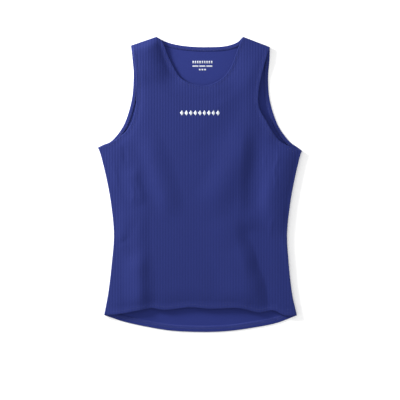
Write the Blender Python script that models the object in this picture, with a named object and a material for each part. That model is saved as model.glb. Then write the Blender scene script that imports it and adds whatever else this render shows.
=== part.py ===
"""Sleeveless rib-knit base layer top, laid flat on its back.

The garment lies in the XY plane: +Y points to the neck, +X to the right of the picture and +Z up,
out of the front. The origin is under the middle of the garment, on the surface that it lies on.
All tables are in millimetres and are turned into metres when a solid is made.

The back panel lies flat. The side and shoulder seam allowances and the turned-in edges lie on its
inside, and the ribbed front panel lies over them, lifted by its own soft folds.
"""

import math
from collections import namedtuple

import bmesh
import bpy
import numpy as np
from mathutils import Vector
from mathutils.bvhtree import BVHTree

MM = 0.001

# Cloth and seams, in mm
CLOTH = 1.2            # thickness of the knit in a valley between two ribs, and of the back panel
RIB_PITCH = 5.6        # from one rib to the next, across the garment
RIB_HEIGHT = 0.4       # how far a rib stands proud of the valleys beside it
PLY = 1.1              # thickness of one turned-in layer
SEAM_GAP = 0.3         # between pieces that touch
FIT_GAP = 0.7          # between the front panel, whose inside is made of flat facets, and its edges
NECK_TURN = 9.0        # width of the turned-in edge at the neck and armholes
HEM_TURN = 13.0        # width of the turned-in hem
SEAM_WIDTH = 7.0       # width of the side and shoulder seam allowances
SEAM_CLEAR = 11.0      # where a turned-in edge stops short of a seam allowance

# How the cloth lies, in mm
BACK_TOP = CLOTH
FRONT_BASE = BACK_TOP + 2 * SEAM_GAP + 2 * PLY + FIT_GAP   # inside of the front panel at its seams
LOFT = 3.7             # how far the middle of the front rises over its seams
LOFT_REACH = 82.0      # how far in from a seam the cloth reaches that height
FOLD_SOFTNESS = 0.8    # how gently a trough flattens out where it meets the layers below
FOLD_START = 14.0      # how far in from a seam the folds begin
SINK = 1.1             # how far the front can sink below its seams, where no seam lies under it
SINK_START = 20.0      # how far in from a seam it begins to sink
SINK_REACH = 40.0      # and over what width

# Sizes of the facets, in mm
OUTLINE_STEP = 11.0    # along an outline
ROW_STEP = 25.0        # between rows of facets across the front
HEM_ROWS = (-252.0, -244.0, -234.0)
INNER_EVERY = 3        # every third rib line is cut on the plain inside
BACK_STEP = 60.0       # between facets of the flat back panel
FLAT_STEP = 13.0       # along the edges and seams that lie flat on the back
TURN_STEP = 7.0        # along the turned-in edges of the front
RIM_SHARE = 0.04       # share of its width by which a turned-in edge stops short of the fold
FLAT_LANES = (RIM_SHARE, 1.0)              # places across an edge that lies flat
TURN_LANES = (RIM_SHARE, 0.35, 0.7, 1.0)   # places across an edge that follows the front
SNAP = 1e-5            # a cut this near a corner passes through it

# Corners of both panels
SHOULDER_TIP_LEFT = (-138.0, 277.5)
NECK_POINT_LEFT = (-87.0, 295.0)
NECK_POINT_RIGHT = (86.0, 295.0)
SHOULDER_TIP_RIGHT = (139.5, 274.5)
ARMPIT_LEFT = (-204.0, 74.0)
ARMPIT_RIGHT = (204.0, 67.0)
HEM_CORNER_LEFT = (-191.5, -261.0)
HEM_CORNER_RIGHT = (193.5, -261.5)

# Half widths of the body at each level, measured out from the middle of the garment
Level = namedtuple("Level", "height left right")
BODY = (
    Level(height=56, left=197.5, right=199.5),
    Level(height=8, left=186, right=188.5),
    Level(height=-40, left=177.5, right=180),
    Level(height=-100, left=172, right=174),
    Level(height=-160, left=176.5, right=177.5),
    Level(height=-215, left=183, right=183.5),
)

# Knots of the edges that differ between the two panels, each from the left to the right,
# or for an armhole from the shoulder down
BACK_NECK = ((-71, 286.5), (-47, 279.5), (-15, 275.5), (20, 274.8), (50, 276.5), (73, 283.5))
BACK_HEM = ((-151, -274.5), (-103, -285), (-55, -292.5), (5, -295), (57, -293), (105, -286.5),
            (153, -277))
BACK_ARMHOLE_LEFT = ((-135, 250), (-132.7, 216), (-136.7, 168), (-151.8, 120), (-175, 88.5),
                     (-193, 79.5))
BACK_ARMHOLE_RIGHT = ((139, 250), (136.3, 212), (139.7, 168), (155, 120), (177, 88), (193, 75.5))
FRONT_NECK = ((-74, 283), (-60, 249), (-36, 211), (4, 197.5), (38, 208), (60, 232), (75, 270))
FRONT_HEM = ((-160, -258.5), (-117, -250.5), (-96, -247), (-68, -250.5), (-20, -245.5),
             (22, -248.5), (76, -247), (117, -255.5), (146, -251.5), (168, -261))
FRONT_ARMHOLE_LEFT = ((-131.5, 248), (-126.5, 200), (-129, 150), (-141, 115), (-164, 92),
                      (-187, 80))
FRONT_ARMHOLE_RIGHT = ((131, 248), (118.8, 198), (117, 158), (133, 125), (156, 90), (180, 75.5))

# Soft folds of the front. A positive height is a ridge and a negative one a trough. The spine runs
# downwards, and the flanks are the widths of its slopes on the left and right of the picture.
Fold = namedtuple("Fold", "name height left_flank right_flank spine")
FOLDS = (
    Fold("left_long", 1.8, 27, 26, ((-118, -13), (-121, -111), (-111, -199), (-118, -288))),
    Fold("left_rib_cage", 2.1, 32, 19, ((-132, 40), (-132, 12), (-114, -46))),
    Fold("left_bust", 2.7, 31, 37, ((-123, 114), (-92, 56), (-74, -4), (-51, -79))),
    Fold("left_hem", 3.4, 34, 26, ((-123, -126), (-125, -189), (-121, -271))),
    Fold("left_waist", 1.0, 37, 22, ((-136, -45), (-153, -92), (-168, -132))),
    Fold("left_side", -0.3, 21, 27, ((-160, 64), (-153, -2), (-163, -76))),
    Fold("left_strap", 3.8, 10, 64, ((-134, 330), (-131, 275), (-127, 225), (-122, 185))),
    Fold("left_neck", -1.8, 40, 20, ((-84, 330), (-66, 272), (-50, 236), (-28, 206))),
    Fold("right_strap", 0.6, 34, 16, ((130, 300), (133, 247), (137, 192), (118, 157))),
    Fold("right_breast", 2.7, 46, 46, ((117, 117), (75, 52), (11, -62))),
    Fold("right_bust", -3.6, 31, 34, ((126, 128), (113, 85), (109, 30), (106, -27), (103, -85))),
    Fold("right_side", 2.5, 34, 46, ((175, 105), (161, 33), (144, -30), (154, -68), (137, -103))),
    Fold("right_armhole", 1.3, 19, 15, ((126, 161), (136, 122), (147, 84))),
    Fold("right_hip", -3.0, 31, 42, ((87, -61), (108, -128), (126, -200))),
    Fold("right_long", -4.2, 46, 34, ((92, -72), (138, -123), (152, -198), (166, -303))),
    Fold("right_hem", -1.0, 22, 16, ((132, -165), (145, -218), (168, -273))),
    Fold("hem_middle", 2.4, 60, 42, ((71, -123), (84, -188), (80, -262))),
    Fold("scoop", 2.2, 34, 34, ((-52, 228), (-30, 203), (4, 192), (34, 202), (56, 226))),
    Fold("chest", -0.9, 37, 33, ((95, 213), (68, 140), (30, 94), (-6, 48))),
)
FOLD_FADE = 0.3        # share of a fold's length over which each of its ends fades out

# How the free edges of the front stand up, or hang down where the height is negative, and how far
# into the panel that reaches
Tilt = namedtuple("Tilt", "edge height reach")
TILTS = (
    Tilt("hem", -1.6, 40),
    Tilt("neck", -3.7, 48),
    Tilt("armhole_left", -0.8, 30),
    Tilt("armhole_right", -1.4, 26),
)
TILT_FADE = 0.22       # share of an edge's length over which its tilt begins at each end

Finish = namedtuple("Finish", "name color roughness")
FRONT_KNIT = Finish("front_knit", (0.028, 0.042, 0.185, 1.0), 0.82)
BACK_KNIT = Finish("back_knit", (0.030, 0.043, 0.188, 1.0), 0.84)
TURNED_KNIT = Finish("turned_knit", (0.026, 0.038, 0.170, 1.0), 0.84)


def curve_through(knots, step):
    """Points about step apart along a smooth curve through the knots, both ends included."""
    knots = [np.array(k, float) for k in knots]
    before = 2 * knots[0] - knots[1]
    after = 2 * knots[-1] - knots[-2]
    padded = [before, *knots, after]
    points = []
    for a, b, c, d in zip(padded, padded[1:], padded[2:], padded[3:]):
        pieces = max(1, round(float(np.linalg.norm(c - b)) / step))
        for i in range(pieces):
            t = i / pieces
            points.append(0.5 * (2 * b + (c - a) * t + (2 * a - 5 * b + 4 * c - d) * t ** 2
                                 + (3 * b - a - 3 * c + d) * t ** 3))
    points.append(knots[-1])
    return np.array(points)


def side_knots(side):
    """Knots of a side seam from the armpit down to the hem corner; side is -1 for left, 1 for right."""
    top = ARMPIT_LEFT if side < 0 else ARMPIT_RIGHT
    bottom = HEM_CORNER_LEFT if side < 0 else HEM_CORNER_RIGHT
    middle = [(side * (row.left if side < 0 else row.right), row.height) for row in BODY]
    return [top, *middle, bottom]


def panel_edges(neck, hem, armhole_left, armhole_right):
    """The named edges of a panel as point lists, in order round the panel, anticlockwise."""
    knots = {
        "hem": [HEM_CORNER_LEFT, *hem, HEM_CORNER_RIGHT],
        "side_right": side_knots(1)[::-1],
        "armhole_right": [ARMPIT_RIGHT, *armhole_right[::-1], SHOULDER_TIP_RIGHT],
        "shoulder_right": [SHOULDER_TIP_RIGHT, NECK_POINT_RIGHT],
        "neck": [NECK_POINT_RIGHT, *neck[::-1], NECK_POINT_LEFT],
        "shoulder_left": [NECK_POINT_LEFT, SHOULDER_TIP_LEFT],
        "armhole_left": [SHOULDER_TIP_LEFT, *armhole_left, ARMPIT_LEFT],
        "side_left": side_knots(-1),
    }
    return {name: curve_through(row, OUTLINE_STEP) for name, row in knots.items()}


BACK = panel_edges(BACK_NECK, BACK_HEM, BACK_ARMHOLE_LEFT, BACK_ARMHOLE_RIGHT)
FRONT = panel_edges(FRONT_NECK, FRONT_HEM, FRONT_ARMHOLE_LEFT, FRONT_ARMHOLE_RIGHT)

# The edges of the front that are sewn to the back
SEWN = ("side_left", "side_right", "shoulder_left", "shoulder_right")


def outline(edges):
    """The closed outline of a panel, each corner once."""
    return np.vstack([points[:-1] for points in edges.values()])


def nearest_on_line(x, y, line):
    """Distance from each point to a line of points, the side that it is on and how far along it is.

    The side is 1 on the right of the picture and -1 on the left for a line that runs downwards.
    """
    lengths = np.linalg.norm(np.diff(line, axis=0), axis=1)
    starts = np.concatenate([[0.0], np.cumsum(lengths)])
    best = np.full(x.shape, np.inf)
    side = np.zeros(x.shape)
    along = np.zeros(x.shape)
    for (ax, ay), (bx, by), length, start in zip(line, line[1:], lengths, starts):
        dx, dy = (bx - ax) / length, (by - ay) / length
        t = np.clip((x - ax) * dx + (y - ay) * dy, 0, length)
        px, py = x - ax - t * dx, y - ay - t * dy
        distance = np.hypot(px, py)
        closer = distance < best
        best = np.where(closer, distance, best)
        side = np.where(closer, np.sign(dx * (y - ay) - dy * (x - ax)), side)
        along = np.where(closer, (start + t) / starts[-1], along)
    return best, side, along


def smooth(t):
    """0 below 0 and 1 above 1, with a soft start and end."""
    t = np.clip(t, 0, 1)
    return t * t * (3 - 2 * t)


def fold_height(x, y, fold):
    """What one fold adds to the height of the front."""
    distance, side, along = nearest_on_line(x, y, curve_through(fold.spine, OUTLINE_STEP))
    flank = np.where(side > 0, fold.right_flank, fold.left_flank)
    across = 0.5 * (1 + np.cos(math.pi * np.clip(distance / flank, 0, 1)))
    return fold.height * across * smooth(along / FOLD_FADE) * smooth((1 - along) / FOLD_FADE)


def edge_rise(x, y, tilt):
    """What the tilt of one free edge adds to the height of the front."""
    distance, _, along = nearest_on_line(x, y, FRONT[tilt.edge])
    inside_ends = smooth(along / TILT_FADE) * smooth((1 - along) / TILT_FADE)
    return tilt.height * smooth(1 - distance / tilt.reach) * inside_ends


def front_inside(x, y):
    """Height of the plain inside of the front panel over the surface, at points in mm."""
    x, y = np.asarray(x, float), np.asarray(y, float)
    from_seam = np.min([nearest_on_line(x, y, FRONT[name])[0] for name in SEWN], axis=0)
    loft = LOFT * (1 - (1 - np.clip(from_seam / LOFT_REACH, 0, 1)) ** 2)
    tilts = sum(edge_rise(x, y, tilt) for tilt in TILTS)
    folds = sum(fold_height(x, y, fold) for fold in FOLDS)
    rise = loft + tilts + folds * smooth(from_seam / FOLD_START)
    clear = 0.5 * (rise + np.sqrt(rise ** 2 + FOLD_SOFTNESS ** 2) - FOLD_SOFTNESS)
    sink = SINK * smooth((from_seam - SINK_START) / SINK_REACH)
    return FRONT_BASE - sink + np.maximum(clear, 0)


def front_outside(x, y):
    """Height of the ribbed outside of the front panel, at points in mm."""
    ridge = np.abs((np.asarray(x, float) / RIB_PITCH) % 1 - 0.5) * 2
    return front_inside(x, y) + CLOTH + RIB_HEIGHT * (1 - ridge)


def material(finish):
    """The material of a finish, made once."""
    made = bpy.data.materials.get(finish.name) or bpy.data.materials.new(finish.name)
    made.use_nodes = True
    shader = made.node_tree.nodes["Principled BSDF"]
    shader.inputs["Base Color"].default_value = finish.color
    shader.inputs["Roughness"].default_value = finish.roughness
    shader.inputs["Metallic"].default_value = 0.0
    return made


def add_object(name, bm, finish):
    """Turns a bmesh in mm into an object in metres, with its faces pointing out."""
    bmesh.ops.recalc_face_normals(bm, faces=bm.faces)
    bmesh.ops.triangulate(bm, faces=bm.faces)
    bmesh.ops.scale(bm, vec=(MM, MM, MM), verts=bm.verts)
    mesh = bpy.data.meshes.new(name)
    bm.to_mesh(mesh)
    bm.free()
    mesh.materials.append(material(finish))
    obj = bpy.data.objects.new(name, mesh)
    bpy.context.scene.collection.objects.link(obj)
    return obj


def cut_along(bm, faces, columns, rows):
    """Cuts the faces along upright lines at the columns and level lines at the rows."""
    faces = list(faces)
    for axis, places in ((0, columns), (1, rows)):
        normal = [float(axis == 0), float(axis == 1), 0.0]
        for place in places:
            point = [place * n for n in normal]
            parts = set(faces)
            for face in faces:
                parts.update(face.verts)
                parts.update(face.edges)
            cut = bmesh.ops.bisect_plane(bm, geom=list(parts), dist=SNAP, plane_co=point,
                                         plane_no=normal)
            faces = [g for g in cut["geom"] if isinstance(g, bmesh.types.BMFace)]
    return faces


def lines_between(low, high, step, offset=0.0):
    """Places at whole steps from offset that lie inside low and high."""
    first = math.ceil((low - offset) / step + SNAP)
    last = math.floor((high - offset) / step - SNAP)
    return [offset + i * step for i in range(first, last + 1)]


def panel(name, edges, outer_lines, inner_lines, outside, inside, finish):
    """A cloth wall: the outline cut finely on its outside and plainly on its inside.

    outer_lines and inner_lines are (columns, rows), and every inner line is an outer line too.
    outside and inside give the heights of the two faces.
    """
    bm = bmesh.new()
    corners = [bm.verts.new((x, y, 1.0)) for x, y in outline(edges)]
    cut_along(bm, [bm.faces.new(corners)], *outer_lines)
    rim = [edge for edge in bm.edges if edge.is_boundary]
    walls = bmesh.ops.extrude_edge_only(bm, edges=rim)["geom"]
    lower = [v for v in walls if isinstance(v, bmesh.types.BMVert)]
    lower_rim = [e for e in walls if isinstance(e, bmesh.types.BMEdge) and e.is_boundary]
    for vert in lower:
        vert.co.z = 0.0
    base = bmesh.ops.contextual_create(bm, geom=lower_rim)["faces"]
    cut_along(bm, base, *inner_lines)
    for vert, height in zip(list(bm.verts), heights(bm, outside, inside)):
        vert.co.z = height
    return add_object(name, bm, finish)


def heights(bm, outside, inside):
    """The height of each vertex: outside for those at level 1 and inside for those at level 0."""
    x = np.array([v.co.x for v in bm.verts])
    y = np.array([v.co.y for v in bm.verts])
    is_outside = np.array([v.co.z > 0.5 for v in bm.verts])
    return np.where(is_outside, outside(x, y), inside(x, y))


def inward(points):
    """Unit normals of an anticlockwise line of points, pointing into the panel."""
    along = np.gradient(points, axis=0)
    normals = np.column_stack([-along[:, 1], along[:, 0]])
    return normals / np.linalg.norm(normals, axis=1)[:, None]


def trimmed(points, start, end, step):
    """A line of points with start and end mm taken off its two ends, about step apart."""
    lengths = np.concatenate([[0.0], np.cumsum(np.linalg.norm(np.diff(points, axis=0), axis=1))])
    count = max(2, round((lengths[-1] - start - end) / step))
    places = np.linspace(start, lengths[-1] - end, count + 1)
    return np.column_stack([np.interp(places, lengths, points[:, i]) for i in (0, 1)])


def strip(name, edge, width, trim, step, shares, lower, upper, finish):
    """A narrow layer along an edge of a panel, between the lower and upper heights.

    shares are the places across its width where it follows those heights.
    """
    points = trimmed(edge, trim, trim, step)
    normals = inward(points)
    lanes = [points + normals * width * share for share in shares]
    bm = bmesh.new()
    rings = []
    for i in range(len(points)):
        spots = [lane[i] for lane in lanes]
        ring = [(x, y, float(lower(x, y))) for x, y in spots]
        ring += [(x, y, float(upper(x, y))) for x, y in reversed(spots)]
        rings.append([bm.verts.new(place) for place in ring])
    for ring, following in zip(rings, rings[1:]):
        for i in range(len(ring)):
            j = (i + 1) % len(ring)
            bm.faces.new((ring[i], ring[j], following[j], following[i]))
    bm.faces.new(rings[0][::-1])
    bm.faces.new(rings[-1])
    return add_object(name, bm, finish)


def level(height):
    """A flat surface at a height, as a function of the place."""
    return lambda x, y: np.full(np.shape(x), height)


def under(obj, depth):
    """A surface that lies depth below the underside of an object, as a function of the place."""
    tree = BVHTree.FromObject(obj, bpy.context.evaluated_depsgraph_get())

    def height(x, y):
        hit = tree.ray_cast(Vector((x * MM, y * MM, -MM)), Vector((0, 0, 1)))[0]
        return hit.z / MM - depth

    return height


def back_panel():
    """The flat back, with its higher neck, wider shoulders and dropped tail."""
    low, high = outline(BACK).min(axis=0), outline(BACK).max(axis=0)
    lines = (lines_between(low[0], high[0], BACK_STEP), lines_between(low[1], high[1], BACK_STEP))
    return panel("back_panel", BACK, lines, lines, level(BACK_TOP), level(0.0), BACK_KNIT)


def front_panel():
    """The ribbed front, lifted by its folds over the layers that it lies on."""
    low, high = outline(FRONT).min(axis=0), outline(FRONT).max(axis=0)
    columns = lines_between(low[0], high[0], RIB_PITCH / 2)
    rows = sorted({*lines_between(HEM_ROWS[-1] + 0.5 * ROW_STEP, high[1], ROW_STEP), *HEM_ROWS})
    inner_columns = columns[::INNER_EVERY]
    return panel("front_panel", FRONT, (columns, rows), (inner_columns, rows),
                 front_outside, front_inside, FRONT_KNIT)


def seams():
    """The seam allowances that join the two panels at the sides and shoulders."""
    lower = level(BACK_TOP + SEAM_GAP)
    upper = level(BACK_TOP + SEAM_GAP + 2 * PLY)
    for name in SEWN:
        strip(name + "_seam", BACK[name], SEAM_WIDTH, SEAM_GAP, FLAT_STEP, FLAT_LANES,
              lower, upper, TURNED_KNIT)


def turned_edges(front):
    """The edges turned to the inside at the neck, armholes and hem of both panels."""
    for name in ("neck", "armhole_left", "armhole_right", "hem"):
        width = HEM_TURN if name == "hem" else NECK_TURN
        strip("back_" + name + "_turning", BACK[name], width, SEAM_CLEAR, FLAT_STEP,
              FLAT_LANES, level(BACK_TOP + SEAM_GAP), level(BACK_TOP + SEAM_GAP + PLY),
              TURNED_KNIT)
        strip("front_" + name + "_turning", FRONT[name], width, SEAM_CLEAR, TURN_STEP,
              TURN_LANES, under(front, FIT_GAP + PLY), under(front, FIT_GAP), TURNED_KNIT)


def main():
    """Clears the scene and makes the garment, from the back up."""
    for old in list(bpy.data.objects):
        bpy.data.objects.remove(old)
    back_panel()
    front = front_panel()
    seams()
    turned_edges(front)


main()
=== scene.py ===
"""The looks of a sleeveless rib-knit base layer top that lies flat on its back.

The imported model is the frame: +Y points to the neck, +X to the right of the picture and +Z up out
of the front. Tables and sizes are in millimetres, and a mesh is turned into metres when it is
finished. Left and right are those of the picture.
"""

import logging
import math
from collections.abc import Callable, Iterable, Sequence
from dataclasses import dataclass, field
from enum import Enum

import bmesh
import bpy
import numpy as np
from mathutils import Matrix, Vector


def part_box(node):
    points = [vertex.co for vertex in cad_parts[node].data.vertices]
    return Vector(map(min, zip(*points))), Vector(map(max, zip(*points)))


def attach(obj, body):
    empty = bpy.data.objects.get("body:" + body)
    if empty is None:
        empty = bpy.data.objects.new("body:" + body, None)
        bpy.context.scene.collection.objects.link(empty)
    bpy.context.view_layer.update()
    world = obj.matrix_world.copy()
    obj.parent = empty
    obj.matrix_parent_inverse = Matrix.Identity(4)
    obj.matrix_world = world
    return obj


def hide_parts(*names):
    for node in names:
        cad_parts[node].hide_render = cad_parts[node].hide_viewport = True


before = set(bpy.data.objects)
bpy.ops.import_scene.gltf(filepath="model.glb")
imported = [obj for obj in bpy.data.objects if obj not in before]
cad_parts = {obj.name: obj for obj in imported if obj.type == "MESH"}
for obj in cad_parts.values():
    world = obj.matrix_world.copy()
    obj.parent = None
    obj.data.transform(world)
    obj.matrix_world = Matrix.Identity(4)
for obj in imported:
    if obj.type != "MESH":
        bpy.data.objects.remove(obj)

MM = 0.001
ROOT = "root"
CUT_TOLERANCE = 1e-5
log = logging.getLogger("base_layer_top")

Points = np.ndarray
Color = tuple[float, float, float]
Knots = tuple[tuple[float, float], ...]
Surface = Callable[[Points, Points], Points]

# Corners that both panels share
SHOULDER_TIP_LEFT = (-138.0, 277.5)
NECK_POINT_LEFT = (-87.0, 295.0)
NECK_POINT_RIGHT = (86.0, 295.0)
SHOULDER_TIP_RIGHT = (139.5, 274.5)
ARMPIT_LEFT = (-204.0, 74.0)
ARMPIT_RIGHT = (204.0, 67.0)
HEM_CORNER_LEFT = (-191.5, -261.0)
HEM_CORNER_RIGHT = (193.5, -261.5)

# Side seams, from under the armpit down
SIDE_LEFT = ((-197.5, 56), (-186, 8), (-177.5, -40), (-172, -100), (-176.5, -160), (-183, -215))
SIDE_RIGHT = ((199.5, 56), (188.5, 8), (180, -40), (174, -100), (177.5, -160), (183.5, -215))


class Edge(Enum):
    """The edges of a panel, in order round it, anticlockwise from the left hem corner."""

    HEM = "hem"
    SIDE_RIGHT = "side_right"
    ARMHOLE_RIGHT = "armhole_right"
    SHOULDER_RIGHT = "shoulder_right"
    NECK = "neck"
    SHOULDER_LEFT = "shoulder_left"
    ARMHOLE_LEFT = "armhole_left"
    SIDE_LEFT = "side_left"

    @property
    def is_turned(self) -> bool:
        """Whether the edge is turned to the inside, and not sewn to the other panel."""
        return self in (Edge.HEM, Edge.ARMHOLE_RIGHT, Edge.NECK, Edge.ARMHOLE_LEFT)


class Side(Enum):
    """The two panels, and the way from a panel's right side to the inside of the garment."""

    FRONT = -1
    BACK = 1


def smooth(t: Points) -> Points:
    """0 below 0 and 1 above 1, with a soft start and end."""
    t = np.clip(t, 0, 1)
    return t * t * (3 - 2 * t)


def within_ends(along: Points, fade: float) -> Points:
    """1 along the middle of a line, and down to 0 over a share of it at each end.

    Args:
        along: How far along the line places are, from 0 to 1.
        fade: The share of the line that each end takes.

    Returns:
        How much is left at the places, from 0 to 1.
    """
    return smooth(along / fade) * smooth((1 - along) / fade)


def curve_through(knots: Sequence[tuple[float, float]], step: float) -> Points:
    """Points along a smooth curve.

    Args:
        knots: The places that the curve goes through.
        step: About how far apart the points are.

    Returns:
        The points, both ends included.
    """
    knots = [np.array(k, float) for k in knots]
    padded = [2 * knots[0] - knots[1], *knots, 2 * knots[-1] - knots[-2]]
    points = []
    for a, b, c, d in zip(padded, padded[1:], padded[2:], padded[3:]):
        pieces = max(1, round(float(np.linalg.norm(c - b)) / step))
        for i in range(pieces):
            t = i / pieces
            points.append(0.5 * (2 * b + (c - a) * t + (2 * a - 5 * b + 4 * c - d) * t**2
                                 + (3 * b - a - 3 * c + d) * t**3))
    points.append(knots[-1])
    return np.array(points)


def nearest_on_line(x: Points, y: Points, line: Points) -> tuple[Points, Points, Points]:
    """Where places lie beside a line of points.

    Args:
        x: The places' x.
        y: The places' y.
        line: The line, which runs downwards if the side matters.

    Returns:
        The distance of each place, its side, which is 1 on the right of the picture, and how far
        along the line it is, from 0 to 1.
    """
    lengths = np.linalg.norm(np.diff(line, axis=0), axis=1)
    starts = np.concatenate([[0.0], np.cumsum(lengths)])
    best = np.full(np.shape(x), np.inf)
    side = np.zeros(np.shape(x))
    along = np.zeros(np.shape(x))
    for (ax, ay), (bx, by), length, start in zip(line, line[1:], lengths, starts):
        dx, dy = (bx - ax) / length, (by - ay) / length
        t = np.clip((x - ax) * dx + (y - ay) * dy, 0, length)
        distance = np.hypot(x - ax - t * dx, y - ay - t * dy)
        closer = distance < best
        best = np.where(closer, distance, best)
        side = np.where(closer, np.sign(dx * (y - ay) - dy * (x - ax)), side)
        along = np.where(closer, (start + t) / starts[-1], along)
    return best, side, along


def lines_between(low: float, high: float, step: float) -> list[float]:
    """Places at whole steps that lie inside low and high."""
    first = math.ceil(low / step + CUT_TOLERANCE)
    last = math.floor(high / step - CUT_TOLERANCE)
    return [i * step for i in range(first, last + 1)]


# The cloth and how it lies


@dataclass(frozen=True)
class Cloth:
    """Sizes of the knit and of the way it is turned in at an edge."""

    wall: float = 1.2
    rib_pitch: float = 5.6
    rib_height: float = 0.24
    rib_roundness: float = 2.0
    ply: float = 0.4
    ply_gap: float = 0.1
    fold_radius: float = 0.9
    thin_edge: float = 0.25
    thin_reach: float = 3.0

    def rib(self, x: Points) -> Points:
        """How high the ribs stand over their grooves, across the garment."""
        from_crest = np.abs((np.asarray(x, float) / self.rib_pitch) % 1 - 0.5) * 2
        return self.rib_height * (1 - from_crest**self.rib_roundness)

    def turned_height(self, from_raw_edge: Points) -> Points:
        """How far the turned-in ply stands off the inside, thinner at its pressed raw edge."""
        share = np.clip(from_raw_edge / self.thin_reach, 0, 1)
        return self.ply_gap + self.ply * (self.thin_edge + (1 - self.thin_edge) * share)


@dataclass(frozen=True)
class Cut:
    """The edges of one panel that the other doesn't share, as knots from the left to the right,
    or for an armhole from the shoulder down."""

    neck: Knots
    hem: Knots
    armhole_left: Knots
    armhole_right: Knots

    def lines(self, step: float) -> dict[Edge, Points]:
        """The edges as points.

        Args:
            step: About how far apart the points are.

        Returns:
            The points of each edge, in order round the panel, anticlockwise.
        """
        knots = {
            Edge.HEM: [HEM_CORNER_LEFT, *self.hem, HEM_CORNER_RIGHT],
            Edge.SIDE_RIGHT: [HEM_CORNER_RIGHT, *SIDE_RIGHT[::-1], ARMPIT_RIGHT],
            Edge.ARMHOLE_RIGHT: [ARMPIT_RIGHT, *self.armhole_right[::-1], SHOULDER_TIP_RIGHT],
            Edge.SHOULDER_RIGHT: [SHOULDER_TIP_RIGHT, NECK_POINT_RIGHT],
            Edge.NECK: [NECK_POINT_RIGHT, *self.neck[::-1], NECK_POINT_LEFT],
            Edge.SHOULDER_LEFT: [NECK_POINT_LEFT, SHOULDER_TIP_LEFT],
            Edge.ARMHOLE_LEFT: [SHOULDER_TIP_LEFT, *self.armhole_left, ARMPIT_LEFT],
            Edge.SIDE_LEFT: [ARMPIT_LEFT, *SIDE_LEFT, HEM_CORNER_LEFT],
        }
        return {edge: curve_through(row, step) for edge, row in knots.items()}


BACK_CUT = Cut(
    neck=((-71, 286.5), (-47, 279.5), (-15, 275.5), (20, 274.8), (50, 276.5), (73, 283.5)),
    hem=((-151, -274.5), (-103, -285), (-55, -292.5), (5, -295), (57, -293), (105, -286.5),
         (153, -277)),
    armhole_left=((-135, 250), (-132.7, 216), (-136.7, 168), (-151.8, 120), (-175, 88.5),
                  (-193, 79.5)),
    armhole_right=((139, 250), (136.3, 212), (139.7, 168), (155, 120), (177, 88), (193, 75.5)),
)
FRONT_CUT = Cut(
    neck=((-74, 283), (-60, 249), (-36, 211), (4, 197.5), (38, 208), (60, 232), (75, 270)),
    hem=((-160, -258.5), (-117, -250.5), (-96, -247), (-68, -250.5), (-20, -245.5), (22, -248.5),
         (76, -247), (117, -255.5), (146, -251.5), (168, -261)),
    armhole_left=((-131.5, 248), (-126.5, 200), (-129, 150), (-141, 115), (-164, 92), (-187, 80)),
    armhole_right=((131, 248), (118.8, 198), (117, 158), (133, 125), (156, 90), (180, 75.5)),
)


@dataclass(frozen=True)
class Fold:
    """A soft ridge of the cloth, or a trough where its height is negative. Its spine runs down."""

    name: str
    height: float
    left_flank: float
    right_flank: float
    spine: Knots
    fade: float = 0.3
    step: float = 6.0

    def rise(self, x: Points, y: Points) -> Points:
        """What the fold adds to the height of the cloth."""
        distance, side, along = nearest_on_line(x, y, curve_through(self.spine, self.step))
        flank = np.where(side > 0, self.right_flank, self.left_flank)
        across = 0.5 * (1 + np.cos(math.pi * np.clip(distance / flank, 0, 1)))
        return self.height * across * within_ends(along, self.fade)


# The main folds of the front, as in the solids
FRONT_FOLDS = (
    Fold("left_long", 1.8, 27, 26, ((-118, -13), (-121, -111), (-111, -199), (-118, -288))),
    Fold("left_rib_cage", 2.1, 32, 19, ((-132, 40), (-132, 12), (-114, -46))),
    Fold("left_bust", 2.7, 31, 37, ((-123, 114), (-92, 56), (-74, -4), (-51, -79))),
    Fold("left_hem", 3.4, 34, 26, ((-123, -126), (-125, -189), (-121, -271))),
    Fold("left_waist", 1.0, 37, 22, ((-136, -45), (-153, -92), (-168, -132))),
    Fold("left_side", -0.3, 21, 27, ((-160, 64), (-153, -2), (-163, -76))),
    Fold("left_strap", 3.8, 10, 64, ((-134, 330), (-131, 275), (-127, 225), (-122, 185))),
    Fold("left_neck", -1.8, 40, 20, ((-84, 330), (-66, 272), (-50, 236), (-28, 206))),
    Fold("right_strap", 0.6, 34, 16, ((130, 300), (133, 247), (137, 192), (118, 157))),
    Fold("right_breast", 2.7, 46, 46, ((117, 117), (75, 52), (11, -62))),
    Fold("right_bust", -3.6, 31, 34, ((126, 128), (113, 85), (109, 30), (106, -27), (103, -85))),
    Fold("right_side", 2.5, 34, 46, ((175, 105), (161, 33), (144, -30), (154, -68), (137, -103))),
    Fold("right_armhole", 1.3, 19, 15, ((126, 161), (136, 122), (147, 84))),
    Fold("right_hip", -3.0, 31, 42, ((87, -61), (108, -128), (126, -200))),
    Fold("right_long", -4.2, 46, 34, ((92, -72), (138, -123), (152, -198), (166, -303))),
    Fold("right_hem", -1.0, 22, 16, ((132, -165), (145, -218), (168, -273))),
    Fold("hem_middle", 2.4, 60, 42, ((71, -123), (84, -188), (80, -262))),
    Fold("scoop", 2.2, 34, 34, ((-52, 228), (-30, 203), (4, 192), (34, 202), (56, 226))),
    Fold("chest", -0.9, 37, 33, ((95, 213), (68, 140), (30, 94), (-6, 48))),
)

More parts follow.
